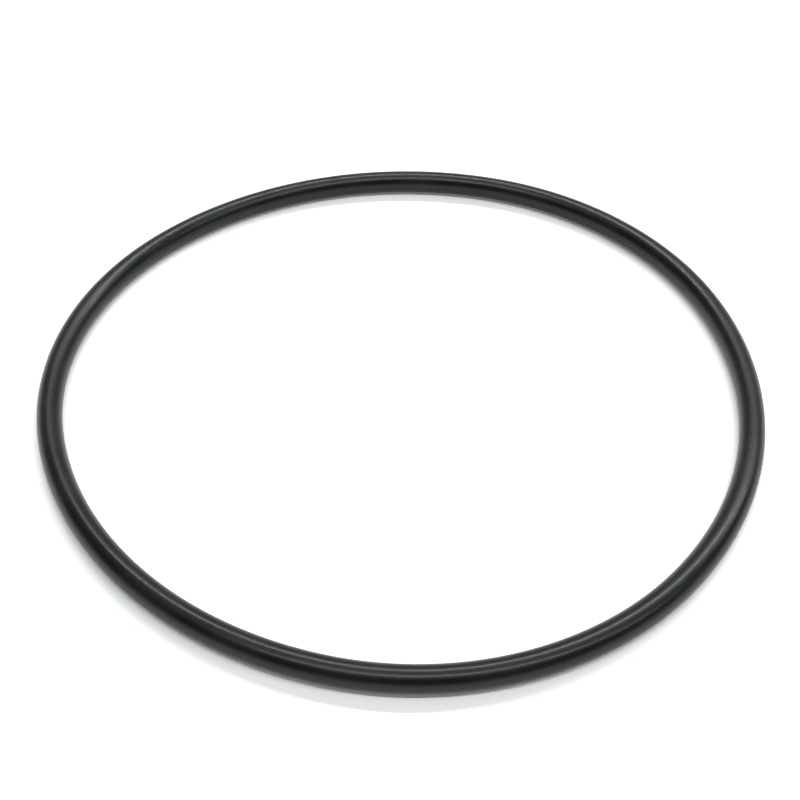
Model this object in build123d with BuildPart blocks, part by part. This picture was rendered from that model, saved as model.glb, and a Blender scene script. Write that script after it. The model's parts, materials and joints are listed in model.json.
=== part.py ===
from build123d import *
import os
from math import cos, radians

# A rubber o-ring of round section, as it lies free on a flat surface.
#
# The ring is moulded round. Lying free, it has relaxed a little out of round, into low lobes.
# Its centreline is then a curve of constant width: equally wide in every direction, and exactly
# as long as the moulded circle, so the rubber is bent a little and nowhere stretched.
#
# Millimetres, with +Z up along the ring's axis. The origin is the ring's centre, at half its height.

# Driving dimensions
inside_diameter = 145.0  # as moulded, and across the inside in every direction as it lies
section_diameter = 5.3
lobe_count = 3  # an odd number, because only then is the width the same all round
lobe_rise = 0.83  # how far a lobe stands out past the moulded circle
first_lobe_angle = 47.0  # where the first lobe points, in degrees anticlockwise from +X

# Each lobe's tip and the flatter stretch across from it are arcs about one point, the lobe's corner.
# The tip turns by arc_angle on the near side of that corner, and the flatter stretch on the far side.
arc_angle = 180 / lobe_count
centreline_radius = (inside_diameter + section_diameter) / 2
corner_offset = lobe_rise / (1 - cos(radians(arc_angle / 2)))
flat_radius = centreline_radius + corner_offset * cos(radians(arc_angle / 2))
tip_radius = 2 * centreline_radius - flat_radius

with BuildPart() as o_ring:
    with BuildLine() as centreline:
        for lobe in range(lobe_count):
            lobe_angle = first_lobe_angle + lobe * 360 / lobe_count
            corner = Vector(corner_offset, 0).rotate(Axis.Z, lobe_angle)
            CenterArc(corner, tip_radius, lobe_angle - arc_angle / 2, arc_angle)
            CenterArc(corner, flat_radius, lobe_angle + 180 - arc_angle / 2, arc_angle)
    with BuildSketch(Plane(origin=centreline.line @ 0, z_dir=centreline.line % 0)):
        Circle(section_diameter / 2)
    sweep(path=centreline.line)
o_ring.part.label = "o_ring"

os.makedirs("parts", exist_ok=True)
export_step(o_ring.part, "parts/o_ring.step")
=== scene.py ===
"""A black rubber o-ring lying on a pale floor, slightly out of round, as a ring does when it lies free."""

import json
from math import cos, pi, radians, sin

import bmesh
import bpy
from mathutils import Matrix, Vector


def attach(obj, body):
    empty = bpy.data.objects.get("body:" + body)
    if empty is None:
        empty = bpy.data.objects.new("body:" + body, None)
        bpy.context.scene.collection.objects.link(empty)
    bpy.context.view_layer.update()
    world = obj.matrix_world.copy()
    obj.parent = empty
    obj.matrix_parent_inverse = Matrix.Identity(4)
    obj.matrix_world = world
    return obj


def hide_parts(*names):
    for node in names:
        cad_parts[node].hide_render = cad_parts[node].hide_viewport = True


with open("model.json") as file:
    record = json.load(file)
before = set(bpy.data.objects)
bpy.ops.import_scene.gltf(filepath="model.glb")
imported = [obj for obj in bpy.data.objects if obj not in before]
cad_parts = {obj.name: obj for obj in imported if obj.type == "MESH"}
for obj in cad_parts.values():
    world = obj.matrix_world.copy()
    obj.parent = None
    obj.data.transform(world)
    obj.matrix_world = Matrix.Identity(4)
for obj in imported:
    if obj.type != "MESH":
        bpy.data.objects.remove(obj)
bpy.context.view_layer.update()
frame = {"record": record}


# The ring: one closed loop of solid nitrile rubber with a round section, compression-moulded between two
# plates that meet at half its height, where a trimmed flash line is left inside and outside. Out of its bag
# it has relaxed into three low lobes. Each lobe's tip and the flatter stretch across turn about its corner.
LOBES = 3
LOBE_RISE = 0.00083
FIRST_LOBE = radians(47)
ARC = pi / LOBES
STEPS_PER_ARC = 72
SECTION_POINTS = 128
FLASH_HEIGHT = 0.00002

seats = {mount["name"]: mount["dims"] for mount in frame["record"]["mounts"]}
inside_radius = seats["inside_seat"]["r_mm"] / 1000
outside_radius = seats["outside_seat"]["r_mm"] / 1000
centreline_radius = (inside_radius + outside_radius) / 2
section_radius = (outside_radius - inside_radius) / 2
corner_offset = LOBE_RISE / (1 - cos(ARC / 2))
flat_radius = centreline_radius + corner_offset * cos(ARC / 2)
tip_radius = 2 * centreline_radius - flat_radius
hair = section_radius / 1000


def lobe_corner(direction):
    return Vector((cos(direction), sin(direction), 0)) * corner_offset


def corner_number(face):
    """One number for each face, made of its last three corners' places in the list of points."""
    low, middle, high = sorted(corner.index for corner in face.verts)[-3:]
    every_point = (2 * LOBES * STEPS_PER_ARC + 1) * SECTION_POINTS
    return low + every_point * (middle + every_point * high)


def mould_ring():
    """Spins the section about each lobe's corner in turn, tips and flatter stretches, all the way round."""
    ring = bmesh.new()
    start = FIRST_LOBE - ARC / 2
    on_edge = Matrix.Rotation(pi / 2, 4, "X")
    upright = Matrix.Rotation(start, 4, "Z") @ Matrix.Translation((tip_radius, 0, 0)) @ on_edge
    placed = Matrix.Translation(lobe_corner(FIRST_LOBE)) @ upright
    section = bmesh.ops.create_circle(ring, segments=SECTION_POINTS, radius=section_radius, matrix=placed)
    for point in section["verts"]:
        if abs(point.co.z) < hair:
            point.co += (point.co - placed.translation).normalized() * FLASH_HEIGHT
    end = section["verts"] + list({edge for point in section["verts"] for edge in point.link_edges})
    for arc in range(2 * LOBES):
        tip_direction = FIRST_LOBE + arc * ARC + arc % 2 * pi
        swept = bmesh.ops.spin(
            ring, geom=end, cent=lobe_corner(tip_direction), axis=(0, 0, 1), angle=ARC, steps=STEPS_PER_ARC
        )
        end = swept["geom_last"]
    bmesh.ops.remove_doubles(ring, verts=ring.verts, dist=hair)
    bmesh.ops.recalc_face_normals(ring, faces=ring.faces)
    # spin leaves the faces in another order each time, so they are put in the order of their corners
    ring.verts.index_update()
    ring.faces.sort(key=corner_number)
    for face in ring.faces:
        face.smooth = True
    mesh = bpy.data.meshes.new("rubber_ring")
    ring.to_mesh(mesh)
    ring.free()
    return mesh


def combine(tree, operation, *values):
    """Adds a Math node to the tree, fed with numbers and with other nodes' outputs."""
    node = tree.nodes.new("ShaderNodeMath")
    node.operation = operation
    for socket, value in zip(node.inputs, values):
        if isinstance(value, float):
            socket.default_value = value
        else:
            tree.links.new(value, socket)
    return node.outputs["Value"]


def remap(tree, value, start, end, low=0.0, high=1.0):
    """Fades smoothly from low to high while the value goes from start to end."""
    fade = tree.nodes.new("ShaderNodeMapRange")
    fade.interpolation_type = "SMOOTHSTEP"
    for socket, number in (("From Min", start), ("From Max", end), ("To Min", low), ("To Max", high)):
        fade.inputs[socket].default_value = number
    tree.links.new(value, fade.inputs["Value"])
    return fade.outputs["Result"]


# colours of the rubber and of what marks it; the last two cover only in part
CLEAN_RUBBER = (0.0078, 0.0090, 0.0092, 1)
BLOOMED_RUBBER = (0.0150, 0.0170, 0.0172, 1)
TRIMMED_FLASH = (0.021, 0.023, 0.0232, 1)
DUST = (0.11, 0.105, 0.098, 1)
FLASH_COVER = 0.7
DUST_COVER = 0.6

# noise, as cycles per metre and detail: patches a centimetre wide, millimetre marks, grain of a tenth of one
BLOOM_NOISE = 110, 3
MOTTLE_NOISE = 850, 4
GRAIN_NOISE = 8000, 2
DUST_CELLS = 420
BLOOM_STARTS, BLOOM_FULL = 0.42, 0.64
SPECK_CORE, SPECK_EDGE = 0.02, 0.05
CELLS_LEFT_CLEAN = 0.7
FLASH_CORE, FLASH_EDGE = 0.00004, 0.00014

# how much each mark adds to the skin's roughness, and to its relief, where the grain counts as 1
SKIN_ROUGHNESS = 0.295
DULLED_BY = {"bloom": 0.035, "mottle": 0.06, "flash": 0.1, "dust": 0.25}
RAISED_BY = {"mottle": 1.5, "flash": 1.5, "dust": 2.0}
RELIEF_HEIGHT = 0.00001


def black_rubber():
    """Black nitrile with the satin skin of the mould, a faint bloom in patches, and a few specks of dust."""
    material = bpy.data.materials.new("black_rubber")
    material.use_nodes = True
    tree = material.node_tree
    nodes, links = tree.nodes, tree.links
    rubber = nodes["Principled BSDF"]
    rubber.inputs["Specular IOR Level"].default_value = 0.26
    rubber.inputs["IOR"].default_value = 1.5
    rubber.inputs["Coat Weight"].default_value = 0.125
    rubber.inputs["Coat Roughness"].default_value = 0.2
    place = nodes.new("ShaderNodeTexCoord").outputs["Object"]

    def noise(scale, detail, label):
        texture = nodes.new("ShaderNodeTexNoise")
        texture.label = label
        texture.inputs["Scale"].default_value = scale
        texture.inputs["Detail"].default_value = detail
        links.new(place, texture.inputs["Vector"])
        return texture.outputs["Fac"]

    def tint(amount, colour, under=None):
        mix = nodes.new("ShaderNodeMix")
        mix.data_type = "RGBA"
        links.new(amount, mix.inputs["Factor"])
        colour_under, colour_over = mix.inputs[6], mix.inputs[7]
        colour_under.default_value = CLEAN_RUBBER
        colour_over.default_value = colour
        if under:
            links.new(under, colour_under)
        return mix.outputs[2]

    bloom = remap(tree, noise(*BLOOM_NOISE, "bloom"), BLOOM_STARTS, BLOOM_FULL)
    mottle = noise(*MOTTLE_NOISE, "mottle")
    grain = noise(*GRAIN_NOISE, "grain of the mould")

    height = nodes.new("ShaderNodeSeparateXYZ")
    links.new(place, height.inputs[0])
    from_half_height = combine(tree, "ABSOLUTE", height.outputs["Z"])
    flash = remap(tree, from_half_height, FLASH_CORE, FLASH_EDGE, 1.0, 0.0)

    specks = nodes.new("ShaderNodeTexVoronoi")
    specks.label = "dust"
    specks.inputs["Scale"].default_value = DUST_CELLS
    links.new(place, specks.inputs["Vector"])
    pick = nodes.new("ShaderNodeSeparateColor")
    links.new(specks.outputs["Color"], pick.inputs["Color"])
    settled = combine(tree, "GREATER_THAN", pick.outputs["Red"], CELLS_LEFT_CLEAN)
    speck = remap(tree, specks.outputs["Distance"], SPECK_CORE, SPECK_EDGE, 1.0, 0.0)
    dust = combine(tree, "MULTIPLY", speck, settled)

    skin = tint(combine(tree, "MULTIPLY", bloom, mottle), BLOOMED_RUBBER)
    skin = tint(combine(tree, "MULTIPLY", flash, FLASH_COVER), TRIMMED_FLASH, skin)
    skin = tint(combine(tree, "MULTIPLY", dust, DUST_COVER), DUST, skin)
    links.new(skin, rubber.inputs["Base Color"])

    marks = {"bloom": bloom, "mottle": mottle, "flash": flash, "dust": dust}
    dullness, relief = SKIN_ROUGHNESS, grain
    for mark, added in DULLED_BY.items():
        dullness = combine(tree, "MULTIPLY_ADD", marks[mark], added, dullness)
    for mark, added in RAISED_BY.items():
        relief = combine(tree, "MULTIPLY_ADD", marks[mark], added, relief)
    links.new(dullness, rubber.inputs["Roughness"])
    bump = nodes.new("ShaderNodeBump")
    bump.inputs["Strength"].default_value = 1.0
    bump.inputs["Distance"].default_value = RELIEF_HEIGHT
    links.new(relief, bump.inputs["Height"])
    links.new(bump.outputs["Normal"], rubber.inputs["Normal"])
    return material


rubber_ring = bpy.data.objects.new("rubber_ring", mould_ring())
bpy.context.scene.collection.objects.link(rubber_ring)
rubber_ring.data.materials.append(black_rubber())
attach(rubber_ring, "root")
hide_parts("o_ring")


# The floor: a matt white sheet that the ring lies on, wider than any view reaches. The camera and the
# rubber's reflections see it as white, except where the ring shades it, and it is white to the horizon.
FLOOR_REACH = 40 * centreline_radius
PAPER_WHITE = 0.72
WHITE_AS_SEEN = 1.12
SHADOW_LIFT = 0.13
LIFT_START, LIFT_END = 1.5 * centreline_radius, 12 * centreline_radius


def white_sheet():
    material = bpy.data.materials.new("white_sheet")
    material.use_nodes = True
    tree = material.node_tree
    nodes, links = tree.nodes, tree.links
    matt = nodes["Principled BSDF"]
    matt.inputs["Roughness"].default_value = 0.9
    matt.inputs["Specular IOR Level"].default_value = 0.0
    matt.inputs["Emission Color"].default_value = (1, 1, 1, 1)

    ray = nodes.new("ShaderNodeLightPath")
    mirrored = combine(tree, "MAXIMUM", ray.outputs["Is Glossy Ray"], ray.outputs["Is Transmission Ray"])
    seen = combine(tree, "MAXIMUM", ray.outputs["Is Camera Ray"], mirrored)
    white = combine(tree, "MULTIPLY", seen, WHITE_AS_SEEN)
    links.new(combine(tree, "MAXIMUM", white, PAPER_WHITE), matt.inputs["Base Color"])

    place = nodes.new("ShaderNodeTexCoord")
    distance = nodes.new("ShaderNodeVectorMath")
    distance.operation = "LENGTH"
    links.new(place.outputs["Object"], distance.inputs[0])
    far_off = remap(tree, distance.outputs["Value"], LIFT_START, LIFT_END)
    lift = combine(tree, "MULTIPLY", seen, combine(tree, "MAXIMUM", far_off, SHADOW_LIFT))
    links.new(lift, matt.inputs["Emission Strength"])
    return material


sheet = bmesh.new()
bmesh.ops.create_grid(
    sheet, x_segments=1, y_segments=1, size=FLOOR_REACH, matrix=Matrix.Translation((0, 0, -section_radius))
)
floor_mesh = bpy.data.meshes.new("floor")
sheet.to_mesh(floor_mesh)
sheet.free()
floor_mesh.materials.append(white_sheet())
floor = bpy.data.objects.new("floor", floor_mesh)
bpy.context.scene.collection.objects.link(floor)


# The light: two long rows of tubes high over the ring, one beyond it and one on the near side, each dimmer
# at its right-hand end, which draw two thin lines along the rubber.
TUBES = {
    # middle along X, Y and Z, half the length, and the width, all in ring radii; then the brightness
    "far_tube": ((3.1, 17.3, 25.0), 12.9, 0.75, 78.0),
    "far_tube_right": ((25.0, 17.3, 25.0), 9.0, 0.75, 56.0),
    "near_tube": ((0.6, -6.2, 25.0), 11.4, 0.9, 38.0),
    "near_tube_right": ((24.0, -6.2, 25.0), 12.0, 0.9, 23.0),
}
TUBE_COLOUR = (0.965, 1.0, 0.997)

for name, (place, half_length, width, radiance) in TUBES.items():
    tube = bpy.data.lights.new(name, "AREA")
    tube.shape = "RECTANGLE"
    tube.size = 2 * half_length * centreline_radius
    tube.size_y = width * centreline_radius
    tube.energy = radiance * pi * tube.size * tube.size_y
    tube.color = TUBE_COLOUR
    lamp = bpy.data.objects.new(name, tube)
    lamp.location = Vector(place) * centreline_radius
    facing = Vector((0, -place[1], -place[2]))
    lamp.rotation_euler = facing.to_track_quat("-Z", "Y").to_euler()
    lamp.visible_camera = False
    bpy.context.scene.collection.objects.link(lamp)


# The surround: a soft studio that is white at the horizon, glows on the far side and overhead, and is dark
# on the near side.
HORIZON_BAND = sin(radians(3)), sin(radians(18))
BEYOND_BAND, BEYOND_GLOW = (0.1, 0.9), 0.4
OVERHEAD_BAND, OVERHEAD_GLOW = (0.75, 1.0), 0.7

world = bpy.data.worlds.new("surround")
world.use_nodes = True
bpy.context.scene.world = world
sky = world.node_tree
direction = sky.nodes.new("ShaderNodeTexCoord")
along = sky.nodes.new("ShaderNodeSeparateXYZ")
sky.links.new(direction.outputs["Generated"], along.inputs[0])

horizon = remap(sky, along.outputs["Z"], *HORIZON_BAND, 1.0, 0.0)
beyond = remap(sky, along.outputs["Y"], *BEYOND_BAND, 0.0, BEYOND_GLOW)
overhead = remap(sky, along.outputs["Z"], *OVERHEAD_BAND, 0.0, OVERHEAD_GLOW)
glow = combine(sky, "MAXIMUM", horizon, combine(sky, "MAXIMUM", beyond, overhead))
sky.links.new(glow, sky.nodes["Background"].inputs["Strength"])
sky.nodes["Background"].inputs["Color"].default_value = (1, 1, 1, 1)


# The camera: it looks down at the ring from the near side, from nearly two ring widths away, and is turned
# a little about its own line of sight.
CAMERA_ELEVATION = radians(44.5)
CAMERA_REACH = 3.8045 * centreline_radius
CAMERA_AIM = Vector((-0.0110, -0.0391, 0)) * centreline_radius + Vector((0, 0, -section_radius))
CAMERA_ROLL = radians(0.732)
FOCAL_LENGTH = 59.36
FILM_WIDTH = 36
NEAREST_SEEN = 0.001

lens = bpy.data.cameras.new("camera")
lens.lens = FOCAL_LENGTH
lens.sensor_width = FILM_WIDTH
lens.clip_start = NEAREST_SEEN
camera = bpy.data.objects.new("camera", lens)
back_off = Vector((0, -cos(CAMERA_ELEVATION), sin(CAMERA_ELEVATION)))
turn = Matrix.Rotation(pi / 2 - CAMERA_ELEVATION, 4, "X") @ Matrix.Rotation(CAMERA_ROLL, 4, "Z")
camera.matrix_world = Matrix.Translation(CAMERA_AIM + back_off * CAMERA_REACH) @ turn
bpy.context.scene.collection.objects.link(camera)
bpy.context.scene.camera = camera
bpy.context.scene.view_settings.view_transform = "Standard"
